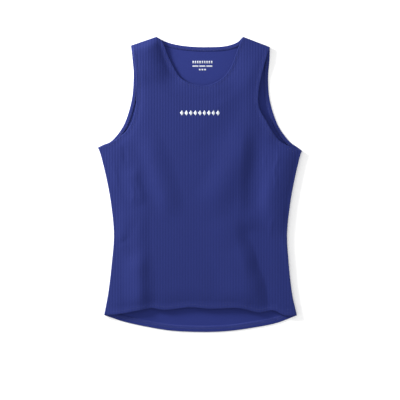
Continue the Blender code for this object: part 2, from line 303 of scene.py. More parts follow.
# Small creases, and low brows beside some of the main folds
FRONT_CREASES = (
    Fold("left_armpit", -0.5, 8, 9, ((-154, 80), (-150, 60), (-149, 40))),
    Fold("left_notch_high", -0.6, 9, 6, ((-172, -114), (-158, -117), (-140, -104))),
    Fold("left_notch_low", 0.5, 6, 12, ((-166, -128), (-152, -126), (-138, -138))),
    Fold("left_side_high", 0.4, 12, 8, ((-174, 44), (-168, 18), (-164, -12))),
    Fold("left_wave", 0.35, 7, 6, ((-142, 8), (-132, -14), (-136, -40))),
    Fold("right_wave", 0.45, 5, 8, ((150, 80), (155, 53), (147, 28), (151, 4), (144, -18))),
    Fold("right_ripple", 0.3, 6, 6, ((132, 62), (128, 44), (134, 28))),
    Fold("right_drag_long", 0.5, 6, 9, ((139, -126), (148, -158), (160, -192), (165, -236))),
    Fold("right_drag_short", 0.35, 5, 7, ((128, -168), (138, -196), (144, -234))),
    Fold("right_waist", 0.4, 9, 7, ((148, -62), (141, -86), (143, -112))),
    Fold("right_long_brow", 1.1, 34, 28, ((92, -96), (103, -176), (110, -262))),
    Fold("left_neck_brow", 2.2, 38, 20, ((-100, 330), (-91, 276), (-78, 240), (-58, 206))),
    Fold("right_hip_brow", 1.0, 60, 44, ((46, -62), (56, -108), (70, -166))),
)


@dataclass(frozen=True)
class Tilt:
    """How a free edge of the cloth stands up, or hangs down where its height is negative."""

    edge: Edge
    height: float
    reach: float
    fade: float = 0.22

    def rise(self, distance: Points, side: Points, along: Points) -> Points:
        """What the tilt adds to the height of the cloth, at places beside the edge."""
        return self.height * smooth(1 - distance / self.reach) * within_ends(along, self.fade)


@dataclass(frozen=True)
class Band:
    """A turned edge, full between its fold and the stitching, which pulls the cloth down."""

    edge: Edge
    width: float
    fullness: float
    pull: float
    groove: float = 2.2
    fade: float = 0.06

    def rise(self, distance: Points, side: Points, along: Points) -> Points:
        """What the band adds to the height of the cloth, at places beside the edge."""
        full = self.fullness * np.cos(0.5 * math.pi * np.clip(distance / self.width, 0, 1))
        pulled = self.pull * np.exp(-(((distance - self.width) / self.groove) ** 2))
        return (full - pulled) * within_ends(along, self.fade)


# How the free edges of the front lie, as in the solids
FRONT_TILTS = (
    Tilt(Edge.HEM, -1.6, 40),
    Tilt(Edge.NECK, -3.7, 48),
    Tilt(Edge.ARMHOLE_LEFT, -0.8, 30),
    Tilt(Edge.ARMHOLE_RIGHT, -1.4, 26),
)

# How much lower or higher they come to lie with their thin turned plies
FRONT_SETTLES = (
    Tilt(Edge.HEM, -0.6, 30),
    Tilt(Edge.NECK, -1.0, 22),
    Tilt(Edge.ARMHOLE_LEFT, -0.9, 18),
    Tilt(Edge.ARMHOLE_RIGHT, 0.4, 24),
)

# The turned edges as seen from the right side
FRONT_BANDS = (
    Band(Edge.HEM, width=11.7, fullness=0.9, pull=0.35),
    *(Band(edge, width=7.7, fullness=0.15, pull=0.1)
      for edge in (Edge.NECK, Edge.ARMHOLE_LEFT, Edge.ARMHOLE_RIGHT)),
)

# Where the back doesn't touch the surface
BACK_FOLDS = (
    Fold("middle", 0.9, 40, 34, ((-30, 150), (-42, 60), (-36, -60), (-52, -170))),
    Fold("right_side", 0.8, 26, 30, ((96, 120), (88, 20), (98, -90))),
    Fold("left_side", 0.7, 22, 28, ((-120, 60), (-110, -40), (-118, -150))),
)


@dataclass
class FrontLie:
    """How the ribbed front lies over the layers under it. The main heights are the solids'."""

    cloth: Cloth
    base: float
    loft: float = 3.7
    loft_reach: float = 82.0
    softness: float = 0.8
    fold_start: float = 14.0
    sink: float = 1.1
    sink_start: float = 20.0
    sink_reach: float = 40.0
    line_step: float = 8.0

    def __post_init__(self) -> None:
        """Keeps the lines of the edges."""
        self.lines = FRONT_CUT.lines(self.line_step)

    def reverse(self, x: Points, y: Points) -> Points:
        """Height of the plain inside."""
        beside = {edge: nearest_on_line(x, y, line) for edge, line in self.lines.items()}
        from_seam = np.min([beside[edge][0] for edge in Edge if not edge.is_turned], axis=0)
        loft = self.loft * (1 - (1 - np.clip(from_seam / self.loft_reach, 0, 1)) ** 2)
        tilts = sum(tilt.rise(*beside[tilt.edge]) for tilt in FRONT_TILTS)
        folds = sum(fold.rise(x, y) for fold in FRONT_FOLDS + FRONT_CREASES)
        rise = loft + tilts + folds * smooth(from_seam / self.fold_start)
        clear = 0.5 * (rise + np.sqrt(rise**2 + self.softness**2) - self.softness)
        sink = self.sink * smooth((from_seam - self.sink_start) / self.sink_reach)
        height = self.base - sink + np.maximum(clear, 0)
        settled = sum(tilt.rise(*beside[tilt.edge]) for tilt in FRONT_SETTLES)
        return height + settled + sum(band.rise(*beside[band.edge]) for band in FRONT_BANDS)

    def smooth_face(self, x: Points, y: Points) -> Points:
        """Height of the bottom of the grooves between the ribs."""
        return self.reverse(x, y) + self.cloth.wall

    def face(self, x: Points, y: Points) -> Points:
        """Height of the ribbed outside."""
        return self.smooth_face(x, y) + self.cloth.rib(x)


@dataclass
class BackLie:
    """How the back lies on the surface, ribbed side down, with a few places that don't touch it."""

    cloth: Cloth
    top: float
    fold_start: float = 30.0
    line_step: float = 8.0

    def __post_init__(self) -> None:
        """Keeps the whole edge as one closed line."""
        self.rim = np.vstack(list(BACK_CUT.lines(self.line_step).values()))
        self.rim = self.rim[np.r_[True, np.any(np.diff(self.rim, axis=0) != 0, axis=1)]]

    def rise(self, x: Points, y: Points) -> Points:
        """How far the cloth is off the surface."""
        inside = smooth(nearest_on_line(x, y, self.rim)[0] / self.fold_start)
        return inside * sum(fold.rise(x, y) for fold in BACK_FOLDS)

    def reverse(self, x: Points, y: Points) -> Points:
        """Height of the plain inside, which looks up."""
        return self.top + self.rise(x, y)

    def face(self, x: Points, y: Points) -> Points:
        """Height of the ribbed outside, which looks down."""
        return self.rise(x, y) + self.cloth.rib_height - self.cloth.rib(x)

    def smooth_face(self, x: Points, y: Points) -> Points:
        """Height of the bottom of the grooves between the ribs, seen from below."""
        return self.rise(x, y) + self.cloth.rib_height


# Mesh helpers


def finished(name: str, bm: bmesh.types.BMesh, material: bpy.types.Material) -> bpy.types.Object:
    """Turns a bmesh in mm into a finished object in metres.

    Args:
        name: The piece's name.
        bm: Its mesh, which is used up.
        material: Its finish.

    Returns:
        The new object, at the origin.
    """
    bmesh.ops.recalc_face_normals(bm, faces=bm.faces)
    bmesh.ops.scale(bm, vec=(MM, MM, MM), verts=bm.verts)
    mesh = bpy.data.meshes.new(name)
    bm.to_mesh(mesh)
    bm.free()
    mesh.shade_smooth()
    mesh.materials.append(material)
    piece = bpy.data.objects.new(name, mesh)
    bpy.context.scene.collection.objects.link(piece)
    return piece


def cut_grid(bm: bmesh.types.BMesh, faces: Iterable[bmesh.types.BMFace],
             columns: Sequence[float], rows: Sequence[float]) -> None:
    """Cuts faces along upright lines at the columns and then along level lines at the rows.

    Args:
        bm: The mesh.
        faces: The faces to cut.
        columns: Where the upright lines are, from the left.
        rows: Where the level lines are, from below.
    """
    ahead = list(faces)
    for axis, places in ((0, columns), (1, rows)):
        behind = []
        normal = [float(axis == 0), float(axis == 1), 0.0]
        for place in places:
            parts = dict.fromkeys(ahead)
            for face in ahead:
                parts.update(dict.fromkeys([*face.verts, *face.edges]))
            cut = bmesh.ops.bisect_plane(bm, geom=list(parts), dist=CUT_TOLERANCE,
                                         plane_co=[place * n for n in normal], plane_no=normal)
            ahead = []
            for part in cut["geom"]:
                if isinstance(part, bmesh.types.BMFace):
                    reach = max(vert.co[axis] for vert in part.verts)
                    (ahead if reach > place + 10 * CUT_TOLERANCE else behind).append(part)
        ahead += behind


def sweep(bm: bmesh.types.BMesh, sections: Sequence[Points]) -> None:
    """Adds a closed body that joins a row of sections.

    Args:
        bm: The mesh.
        sections: The corners of each section, in the same order, as rows of x, y and z.
    """
    spoke = bm.verts.layers.int.get("spoke") or bm.verts.layers.int.new("spoke")
    verts = bmesh.ops.create_circle(bm, segments=len(sections[0]), radius=1.0)["verts"]
    for i, vert in enumerate(verts):
        vert[spoke] = i
        vert.co = sections[0][i]
    loop = list(dict.fromkeys(edge for vert in verts for edge in vert.link_edges))
    ends = [loop]
    for section in sections[1:]:
        made = bmesh.ops.extrude_edge_only(bm, edges=loop)["geom"]
        loop = [part for part in made if isinstance(part, bmesh.types.BMEdge) and part.is_boundary]
        for part in made:
            if isinstance(part, bmesh.types.BMVert):
                part.co = section[part[spoke]]
    ends.append(loop)
    for end in ends:
        bmesh.ops.contextual_create(bm, geom=end)


def sweep_thread(bm: bmesh.types.BMesh, path: Points, radius: float, sides: int = 5) -> None:
    """Adds a thread of an even thickness.

    Args:
        bm: The mesh.
        path: The points that the thread follows, none of them doubled.
        radius: Half its thickness.
        sides: How many sides it has.
    """
    along = np.gradient(path, axis=0)
    along /= np.linalg.norm(along, axis=1)[:, None]
    across = np.cross(along, (0.0, 0.0, 1.0))
    length = np.linalg.norm(across, axis=1)
    across[length < 0.2] = (0.0, 1.0, 0.0)
    across /= np.linalg.norm(across, axis=1)[:, None]
    up = np.cross(across, along)
    turns = np.arange(sides) * 2 * math.pi / sides
    sweep(bm, [spot + radius * (np.outer(np.cos(turns), side) + np.outer(np.sin(turns), top))
               for spot, side, top in zip(path, across, up)])


def spaced(line: Points, start: float, end: float, step: float) -> Points:
    """Points about step apart along a line, with start and end taken off its two ends."""
    lengths = np.concatenate([[0.0], np.cumsum(np.linalg.norm(np.diff(line, axis=0), axis=1))])
    count = max(2, round((lengths[-1] - start - end) / step))
    places = np.linspace(start, lengths[-1] - end, count + 1)
    return np.column_stack([np.interp(places, lengths, line[:, i]) for i in (0, 1)])


def inward(line: Points) -> Points:
    """Unit normals of an anticlockwise line of points, pointing into the panel."""
    along = np.gradient(line, axis=0)
    normals = np.column_stack([-along[:, 1], along[:, 0]])
    return normals / np.linalg.norm(normals, axis=1)[:, None]


# Finishes


class Value:
    """A socket's output as a number, so that arithmetic on it adds Math nodes."""

    def __init__(self, tree: "NodeTree", socket: bpy.types.NodeSocket) -> None:
        """Keeps the socket and the tree that it is in."""
        self.tree = tree
        self.socket = socket

    def math(self, operation: str, *others: "Value | float") -> "Value":
        """This value, put with the others through a Math node."""
        names = ("Value", "Value_001", "Value_002")
        return self.tree.add("ShaderNodeMath", {"operation": operation},
                             dict(zip(names, (self, *others))))

    def __add__(self, other: "Value | float") -> "Value":
        """Sum."""
        return self.math("ADD", other)

    def __radd__(self, other: float) -> "Value":
        """Sum, with the number first."""
        return self.math("ADD", other)

    def __mul__(self, other: "Value | float") -> "Value":
        """Product."""
        return self.math("MULTIPLY", other)

    def __rmul__(self, other: float) -> "Value":
        """Product, with the number first."""
        return self.math("MULTIPLY", other)

    def __sub__(self, other: "Value | float") -> "Value":
        """Difference."""
        return self.math("SUBTRACT", other)

    def __rsub__(self, other: float) -> "Value":
        """Difference, with the number first."""
        return self.math("MULTIPLY_ADD", -1.0, other)

    def __pow__(self, power: float) -> "Value":
        """Power."""
        return self.math("POWER", power)

    def __abs__(self) -> "Value":
        """Size without the sign."""
        return self.math("ABSOLUTE")

    def fraction(self) -> "Value":
        """What is left over a whole number."""
        return self.math("FRACT")

    def cosine(self) -> "Value":
        """Cosine of the value in radians."""
        return self.math("COSINE")


class NodeTree:
    """A new material's nodes, which end in its Principled shader."""

    def __init__(self, name: str) -> None:
        """Makes the material and finds its shader."""
        self.material = bpy.data.materials.new(name)
        self.material.use_nodes = True
        self.nodes = self.material.node_tree.nodes
        self.shader = self.nodes["Principled BSDF"]

    def put(self, node: bpy.types.Node, identifier: str, value: object) -> None:
        """Sets one socket of a node, to a number, a colour or another node's output."""
        socket = next(s for s in node.inputs if s.identifier == identifier)
        if isinstance(value, Value):
            self.material.node_tree.links.new(value.socket, socket)
        else:
            socket.default_value = value

    def add(self, kind: str, settings: dict[str, object] | None = None,
            sockets: dict[str, object] | None = None, output: str | None = None) -> Value:
        """Adds any node.

        Args:
            kind: The node's type.
            settings: Its own properties, which are set first.
            sockets: The values or links of its sockets, by their identifiers.
            output: The identifier of the output to use, or None for the first.

        Returns:
            That output.
        """
        node = self.nodes.new(kind)
        for key, setting in (settings or {}).items():
            setattr(node, key, setting)
        for identifier, value in (sockets or {}).items():
            self.put(node, identifier, value)
        outputs = {s.identifier: s for s in node.outputs}
        return Value(self, outputs[output] if output else node.outputs[0])

    def place(self) -> tuple[Value, Value, Value, Value]:
        """The place on the garment in mm, as a vector and as its three parts."""
        point = self.add("ShaderNodeTexCoord", output="Object")
        scaled = self.add("ShaderNodeVectorMath", {"operation": "SCALE"},
                          {"Vector": point, "Scale": 1 / MM})
        parts = [self.add("ShaderNodeSeparateXYZ", sockets={"Vector": scaled}, output=axis)
                 for axis in "XYZ"]
        return scaled, *parts

    def noise(self, vector: Value, size: float, detail: float = 2.0) -> Value:
        """Soft noise from 0 to 1 whose patches are about size mm wide."""
        return self.add("ShaderNodeTexNoise", {"noise_dimensions": "3D"},
                        {"Vector": vector, "Scale": 1 / size, "Detail": detail})

    def blend(self, share: Value, low: Color, high: Color) -> Value:
        """The colour low where share is 0 and high where it is 1."""
        return self.add("ShaderNodeMix", {"data_type": "RGBA"},
                        {"Factor_Float": share, "A_Color": (*low, 1.0), "B_Color": (*high, 1.0)},
                        output="Result_Color")

    def bump(self, height: Value, depth: float) -> Value:
        """A normal for a relief whose height of 1 is depth mm."""
        return self.add("ShaderNodeBump", None,
                        {"Height": height, "Distance": depth * MM, "Strength": 1.0})

    def finish(self, sockets: dict[str, object]) -> bpy.types.Material:
        """Sets the shader's sockets and returns the material."""
        for identifier, value in sockets.items():
            self.put(self.shader, identifier, value)
        return self.material


@dataclass(frozen=True)
class KnitFinish:
    """Fine knit: upright columns of V-shaped loops, with painted shade that darkens the grooves
    between the ribs.
    """

    name: str
    color: Color
    # Painted shade: how much darker the colour is at the bottom of the grooves between the ribs.
    painted_groove_shade: float = 0.06
    rib_pitch: float = 5.6
    wale: float = 1.4
    course: float = 1.1
    slant: float = 1.1
    loop_height: float = 0.14
    loop_shade: float = 0.04
    fibre: float = 0.35
    patch: float = 38.0
    mottle: float = 0.06
    groove_sharpness: float = 6.0
    roughness: float = 0.78
    roughness_spread: float = 0.12
    sheen: float = 0.05
    sheen_tint: Color = (0.45, 0.55, 1.0)

    def material(self) -> bpy.types.Material:
        """Builds the finish."""
        tree = NodeTree(self.name)
        point, x, y, _ = tree.place()
        column = (x * (1 / self.wale)).fraction() - 0.5
        wave = (y * (1 / self.course) + abs(column) * self.slant) * (2 * math.pi)
        loops = wave.cosine() * 0.25 + (column * math.pi).cosine() * 0.75
        fibres = tree.noise(point, self.fibre, detail=3.0)
        patches = tree.noise(point, self.patch) * 0.6 + fibres * 0.4
        # Painted shade: the colour darkens towards the bottom of each groove between the ribs,
        # where shade falls.
        from_crest = abs((x * (1 / self.rib_pitch)).fraction() - 0.5) * 2.0
        shade = (from_crest**self.groove_sharpness) * self.painted_groove_shade
        depth = (patches - 0.5) * (2 * self.mottle) + loops * self.loop_shade - shade + 0.5
        darker, lighter = (tuple(c * k for c in self.color) for k in (0.5, 1.5))
        return tree.finish({
            "Base Color": tree.blend(depth, darker, lighter),
            "Roughness": self.roughness + (fibres - 0.5) * self.roughness_spread,
            "Normal": tree.bump(loops + fibres * 0.35, self.loop_height),
            "Specular IOR Level": 0.25,
            "Sheen Weight": self.sheen,
            "Sheen Roughness": 0.45,
            "Sheen Tint": (*self.sheen_tint, 1.0),
        })


@dataclass(frozen=True)
class ThreadFinish:
    """Twisted sewing thread."""

    name: str
    color: Color
    twist: float = 0.5

    def material(self) -> bpy.types.Material:
        """Builds the finish."""
        tree = NodeTree(self.name)
        point, x, y, z = tree.place()
        strands = ((x + y + z * 2.0) * (2 * math.pi / self.twist)).cosine() * 0.5 + 0.5
        fuzz = tree.noise(point, 0.2)
        darker, lighter = (tuple(c * k for c in self.color) for k in (0.75, 1.2))
        return tree.finish({
            "Base Color": tree.blend(strands * 0.6 + fuzz * 0.4, darker, lighter),
            "Roughness": 0.5 + fuzz * 0.2,
            "Normal": tree.bump(strands, 0.05),
            "Sheen Weight": 0.2,
        })


@dataclass(frozen=True)
class FilmFinish:
    """Thin white film pressed on to the knit, with the knit's grain showing through."""

    name: str
    color: Color
    grain: float = 0.9

    def material(self) -> bpy.types.Material:
        """Builds the finish."""
        tree = NodeTree(self.name)
        point, *_ = tree.place()
        grain = tree.noise(point, self.grain, detail=3.0)
        darker = tuple(c * 0.86 for c in self.color)
        return tree.finish({
            "Base Color": tree.blend(grain, darker, self.color),
            "Roughness": 0.38 + grain * 0.2,
            "Normal": tree.bump(grain, 0.04),
        })


@dataclass(frozen=True)
class PaperFinish:
    """Matt white studio paper."""

    name: str
    color: Color

    def material(self) -> bpy.types.Material:
        """Builds the finish."""
        tree = NodeTree(self.name)
        point, *_ = tree.place()
        fibre = tree.noise(point, 2.5)
        darker = tuple(c * 0.99 for c in self.color)
        return tree.finish({
            "Base Color": tree.blend(fibre, darker, self.color),
            "Roughness": 0.9,
            "Specular IOR Level": 0.1,
        })


# Sub-assemblies


@dataclass
class Panel:
    """A knit panel as one closed wall of cloth, with its edges turned to the inside.

    Its right side is cut finely, for the ribs. From there rings of faces run round the fold of a
    turned edge and back under it, or at a seam down to where the other panel meets it.
    """

    name: str
    side: Side
    cut: Cut
    lie: FrontLie | BackLie
    cloth: Cloth
    seam_height: float
    replaced: tuple[str, ...]
    hem_turn: float = 13.0
    edge_turn: float = 9.0
    corner: float = 9.0
    seam_gap: float = 0.3
    lip: float = 1.1
    past_fold: float = 0.3
    ring_gap: float = 0.1
    columns_per_rib: int = 6
    row_step: float = 5.0
    inner_step: float = 11.2
    line_step: float = 2.5
    roll_steps: int = 6

    def __post_init__(self) -> None:
        """Works out the edge of the panel all round."""
        self.lines = self.cut.lines(self.line_step)
        rows = []
        for edge, line in self.lines.items():
            run = np.concatenate([[0.0], np.cumsum(np.linalg.norm(np.diff(line, axis=0), axis=1))])
            share = smooth(np.minimum(run, run[-1] - run) / self.corner) * float(edge.is_turned)
            width = share * (self.hem_turn if edge is Edge.HEM else self.edge_turn)
            rows.append(np.column_stack([line, share, width])[:-1])
        table = np.vstack(rows)
        points = table[:, :2]
        before = points - np.roll(points, 1, axis=0)
        after = np.roll(points, -1, axis=0) - points
        before, after = (v / np.linalg.norm(v, axis=1)[:, None] for v in (before, after))
        normals = np.column_stack([-(before + after)[:, 1], (before + after)[:, 0]])
        normals /= np.linalg.norm(normals, axis=1)[:, None]
        square = np.clip(normals[:, 0] * -after[:, 1] + normals[:, 1] * after[:, 0], 0.5, 1)
        self.edge_table = np.column_stack([table, normals / square[:, None]])

    def inset(self, depth: float) -> Points:
        """The whole edge, moved into the panel by a depth."""
        return self.edge_table[:, :2] + self.edge_table[:, 4:] * depth

    def edge_values(self, spots: Points) -> Points:
        """The rows of the edge table for spots on the inset edge where the right side ends.

        Args:
            spots: Places on that line, as rows of x and y.

        Returns:
            For each, the x and y of the true edge, the share and width of its turning, and the
            way into the panel as x and y.
        """
        start = self.inset(self.cloth.fold_radius)
        step = np.roll(start, -1, axis=0) - start
        rest = spots[:, None, :] - start[None]
        t = np.clip((rest * step).sum(axis=2) / (step**2).sum(axis=1), 0, 1)
        away = np.linalg.norm(rest - t[:, :, None] * step, axis=2)
        nearest = away.argmin(axis=1)
        t = t[np.arange(len(spots)), nearest][:, None]
        following = np.roll(self.edge_table, -1, axis=0)
        return self.edge_table[nearest] * (1 - t) + following[nearest] * t

    def rings(self, spots: Points) -> list[Points]:
        """The rings of the edge, from the right side round to the inside.

        Args:
            spots: Where the rim of the right side has its corners.

        Returns:
            For each ring, the x, y and z of every spot.
        """
        values = self.edge_values(spots)
        line, share, width, way = values[:, :2], values[:, 2], values[:, 3], values[:, 4:]
        sign = self.side.value
        radius = self.cloth.fold_radius
        outer = self.lie.face(spots[:, 0], spots[:, 1])
        inner = self.lie.reverse(line[:, 0], line[:, 1])
        meet = self.seam_height - sign * 0.5 * self.seam_gap
        thick = self.cloth.thin_reach
        far, thin = (sign * self.cloth.turned_height(reach) for reach in (thick, 0.0))
        near = sign * self.cloth.ply_gap
        turned, seamed = [], []
        for i in range(1, self.roll_steps + 1):
            angle = i * math.pi / self.roll_steps
            depth = radius * (1 - math.sin(angle))
            middle = 0.5 * (outer + inner + far)
            turned.append((depth, middle + (outer - middle) * math.cos(angle)))
            if 2 * i <= self.roll_steps:
                seamed.append((depth, meet + (outer - meet) * math.cos(angle)))
            else:
                seamed.append((self.lip * (angle / math.pi - 0.5) * 2, np.full_like(outer, meet)))
        inside_fold = radius + self.past_fold
        for depth, rise in ((0.5 * (radius + width), far), (width - thick, far), (width, thin),
                            (width, near), (0.5 * (radius + width), near), (inside_fold, near),
                            (inside_fold + self.ring_gap, 0.0)):
            place = line + way * np.reshape(depth * np.ones(len(line)), (-1, 1))
            turned.append((depth, self.lie.reverse(place[:, 0], place[:, 1]) + rise))
        inner_steps = len(turned) - len(seamed)
        for i in range(inner_steps):
            climb = i / (inner_steps - 1)
            seamed.append((self.lip + self.ring_gap * (i + 1), meet + (inner - meet) * climb))
        rings = []
        for (turned_depth, turned_z), (seam_depth, seam_z) in zip(turned, seamed):
            depth = share * turned_depth + (1 - share) * seam_depth
            rings.append(np.column_stack([line + way * depth[:, None],
                                          share * turned_z + (1 - share) * seam_z]))
        return rings

    def build(self, finish: KnitFinish) -> bpy.types.Object:
        """Makes the panel's mesh and dresses it.

        Args:
            finish: The knit.

        Returns:
            The finished piece.
        """
        bm = bmesh.new()
        tier = bm.verts.layers.int.new("tier")
        spot = bm.verts.layers.int.new("spot")
        start = self.inset(self.cloth.fold_radius)
        face = bm.faces.new([bm.verts.new((x, y, 0.0)) for x, y in start])
        low, high = start.min(axis=0), start.max(axis=0)
        fine = self.cloth.rib_pitch / self.columns_per_rib
        cut_grid(bm, [face], lines_between(low[0], high[0], fine),
                 lines_between(low[1], high[1], self.row_step))
        loop = [edge for edge in bm.edges if edge.is_boundary]
        rim = [vert for vert in bm.verts if vert.is_boundary]
        for i, vert in enumerate(rim):
            vert[spot] = i
        rings = self.rings(np.array([vert.co[:2] for vert in rim]))
        for number, ring in enumerate(rings, start=1):
            made = bmesh.ops.extrude_edge_only(bm, edges=loop)["geom"]
            loop = [g for g in made if isinstance(g, bmesh.types.BMEdge) and g.is_boundary]
            for part in made:
                if isinstance(part, bmesh.types.BMVert):
                    part.co = ring[part[spot]]
                    part[tier] = number
                    if number == len(rings):
                        part.co.z = 0.0
        base = bmesh.ops.contextual_create(bm, geom=loop)["faces"]
        cut_grid(bm, base, lines_between(low[0], high[0], self.inner_step),
                 lines_between(low[1], high[1], self.inner_step))
        verts = list(bm.verts)
        x, y, z = np.array([vert.co for vert in verts]).T
        tiers = np.array([vert[tier] for vert in verts])
        z = np.where(tiers == 0, self.lie.face(x, y), z)
        z = np.where(tiers == len(rings), self.lie.reverse(x, y), z)
        for vert, height in zip(verts, z):
            vert.co.z = height
        piece = finished(self.name, bm, finish.material())
        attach(piece, ROOT)
        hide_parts(*self.replaced)
        return piece


@dataclass
class SeamAllowance:
    """The overlocked edges of two panels, which lie together inside the garment along a seam."""

    node: str
    line: Points
    low: float
    high: float
    start: float = 1.9
    width: float = 7.0
    trim: float = 2.0
    step: float = 6.0
    bevel: float = 0.4
    stitch: float = 2.6
    needle: float = 3.4
    thread: float = 0.2
    slack: float = 0.05

    def build(self, finish: KnitFinish, thread: ThreadFinish) -> list[bpy.types.Object]:
        """Makes the two plies and the thread that goes over their edge.

        Args:
            finish: The knit.
            thread: The overlock thread.

        Returns:
            The plies and the thread.
        """
        middle = 0.5 * (self.low + self.high)
        bevel = self.bevel
        profile = ((self.start, self.low), (self.width - bevel, self.low),
                   (self.width, self.low + bevel), (self.width, middle - bevel),
                   (self.width - bevel, middle), (self.width, middle + bevel),
                   (self.width, self.high - bevel), (self.width - bevel, self.high),
                   (self.start, self.high))
        spots = spaced(self.line, self.trim, self.trim, self.step)
        normals = inward(spots)
        bm = bmesh.new()
        sweep(bm, [np.array([(*(spot + way * depth), height) for depth, height in profile])
                   for spot, way in zip(spots, normals)])
        plies = finished(self.node + "_plies", bm, finish.material())
        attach(plies, ROOT)
        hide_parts(self.node)
        over = self.thread + self.slack
        loop = ((self.needle, self.high + over), (self.width + over, self.high),
                (self.width + 2 * over, middle), (self.width + over, self.low),
                (self.needle, self.low - over), (self.needle, middle))
        stations = spaced(self.line, 2 * self.trim, 2 * self.trim, self.stitch / len(loop))
        ways = inward(stations)
        path = [(*(spot + way * loop[i % len(loop)][0]), loop[i % len(loop)][1])
                for i, (spot, way) in enumerate(zip(stations, ways))]
        bm = bmesh.new()
        sweep_thread(bm, np.array(path), self.thread, sides=4)
        overlock = finished(self.node + "_overlock", bm, thread.material())
        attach(overlock, ROOT)
        return [plies, overlock]


@dataclass
class CoverStitch:
    """The stitching of one turned edge: two rows of stitches on the right side, and a thread that
    runs to and fro between them on the inside."""

    name: str
    panel: Panel
    edge: Edge
    gauge: float
    pitch: float = 2.8
    length: float = 2.3
    thread: float = 0.17
    dip: float = 0.5
    lift: float = 0.7
    overshoot: float = 0.4
    from_raw_edge: float = 1.3
    margin: float = 10.0

    def rows(self) -> tuple[float, float]:
        """How far from the fold the two rows are."""
        width = self.panel.hem_turn if self.edge is Edge.HEM else self.panel.edge_turn
        return width - self.from_raw_edge, width - self.from_raw_edge - self.gauge

    def stitch(self, bm: bmesh.types.BMesh) -> list[bmesh.types.BMVert]:
        """Adds one stitch at the origin, along X, and returns its corners."""
        places = np.linspace(-0.5, 0.5, 5)
        sag = -self.dip * (2 * places) ** 2
        path = np.column_stack([places * self.length, np.zeros(len(places)), sag])
        sweep_thread(bm, path, self.thread, sides=6)
        return list(bm.verts)

    def build(self, finish: ThreadFinish) -> bpy.types.Object:
        """Makes the stitches and the thread on the inside.

        Args:
            finish: The thread.

        Returns:
            The finished piece.
        """
        bm = bmesh.new()
        model = self.stitch(bm)
        parts = list(dict.fromkeys([*model, *(e for v in model for e in v.link_edges),
                                    *(f for v in model for f in v.link_faces)]))
        line = self.panel.lines[self.edge]
        outward = -self.panel.side.value
        lie = self.panel.lie
        for depth in self.rows():
            spots = spaced(line, self.margin, self.margin, self.pitch)
            spots = spots + inward(spots) * depth
            middles = 0.5 * (spots[1:] + spots[:-1])
            heights = lie.smooth_face(spots[:, 0], spots[:, 1])
            lifted = outward * self.lift * self.panel.cloth.rib_height
            for middle, start, end, z0, z1 in zip(middles, spots, spots[1:], heights, heights[1:]):
                along = Vector((*(end - start), z1 - z0)).normalized()
                up = Vector((0, 0, outward))
                side = up.cross(along).normalized()
                turn = Matrix((along, side, along.cross(side))).transposed().to_4x4()
                place = Matrix.Translation((*middle, 0.5 * (z0 + z1) + lifted)) @ turn
                made = bmesh.ops.duplicate(bm, geom=parts)["geom"]
                bmesh.ops.transform(bm, matrix=place,
                                    verts=[g for g in made if isinstance(g, bmesh.types.BMVert)])
        bmesh.ops.delete(bm, geom=model, context="VERTS")
        self.add_looper(bm, line)
        piece = finished(self.name, bm, finish.material())
        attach(piece, ROOT)
        return piece

    def add_looper(self, bm: bmesh.types.BMesh, line: Points) -> None:
        """Adds the thread that runs to and fro on the turned-in cloth."""
        cloth = self.panel.cloth
        sign = self.panel.side.value
        far, near = self.rows()
        spots = spaced(line, self.margin, self.margin, self.pitch / 4)
        ways = inward(spots)
        middle, swing = 0.5 * (far + near), 0.5 * (far - near) + self.overshoot
        phase = np.arange(len(spots)) * math.pi / 2
        depth = middle + swing * np.clip(1.3 * np.sin(phase + 0.6), -1, 1)
        place = spots + ways * depth[:, None]
        from_raw_edge = far + self.from_raw_edge - depth
        rise = sign * (cloth.turned_height(from_raw_edge) + 0.1 * self.thread)
        height = self.panel.lie.reverse(place[:, 0], place[:, 1]) + rise
        sweep_thread(bm, np.column_stack([place, height]), 0.8 * self.thread, sides=4)


@dataclass
class FilmMark:
    """Small plain shapes of white film pressed on to the cloth."""

    name: str
    surface: Surface
    rib_pitch: float
    film: float = 0.1
    columns_per_rib: int = 6
    row_step: float = 5.0

    def press(self, bm: bmesh.types.BMesh, corners: Points) -> None:
        """Adds one shape of film that follows the cloth.

        Args:
            bm: The mesh.
            corners: The shape's corners in order, as rows of x and y.
        """
        face = bm.faces.new([bm.verts.new((x, y, 0.0)) for x, y in corners])
        before = set(bm.verts) - set(face.verts)
        low, high = corners.min(axis=0), corners.max(axis=0)
        cut_grid(bm, [face], lines_between(low[0], high[0], self.rib_pitch / self.columns_per_rib),
                 lines_between(low[1], high[1], self.row_step))
        faces = [f for f in bm.faces if not before.intersection(f.verts)]
        verts = list(dict.fromkeys(v for f in faces for v in f.verts))
        x, y = np.array([v.co[:2] for v in verts]).T
        for vert, height in zip(verts, self.surface(x, y)):
            vert.co.z = height
        made = bmesh.ops.extrude_face_region(bm, geom=faces, use_keep_orig=True)["geom"]
        bmesh.ops.translate(bm, vec=(0, 0, self.film),
                            verts=[g for g in made if isinstance(g, bmesh.types.BMVert)])

    def finish(self, bm: bmesh.types.BMesh, finish: FilmFinish) -> bpy.types.Object:
        """Turns the shapes into a piece with its film finish."""
        piece = finished(self.name, bm, finish.material())
        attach(piece, ROOT)
        return piece


@dataclass
class ChestMark(FilmMark):
    """A level row of plain diamonds on the chest."""

    center: tuple[float, float] = (0.0, 142.5)
    count: int = 9
    pitch: float = 9.0
    width: float = 7.2
    height: float = 10.6

    def build(self, finish: FilmFinish) -> bpy.types.Object:
        """Makes the row of diamonds."""
        bm = bmesh.new()
        half_width, half_height = self.width / 2, self.height / 2
        diamond = np.array([(half_width, 0), (0, half_height), (-half_width, 0), (0, -half_height)])
        for i in range(self.count):
            offset = (i - (self.count - 1) / 2) * self.pitch
            self.press(bm, diamond + (self.center[0] + offset, self.center[1]))
        return self.finish(bm, finish)


@dataclass(frozen=True)
class Bars:
    """A level row of plain bars: its height on the garment, their number and their sizes."""

    y: float
    count: int
    pitch: float
    width: float
    height: float


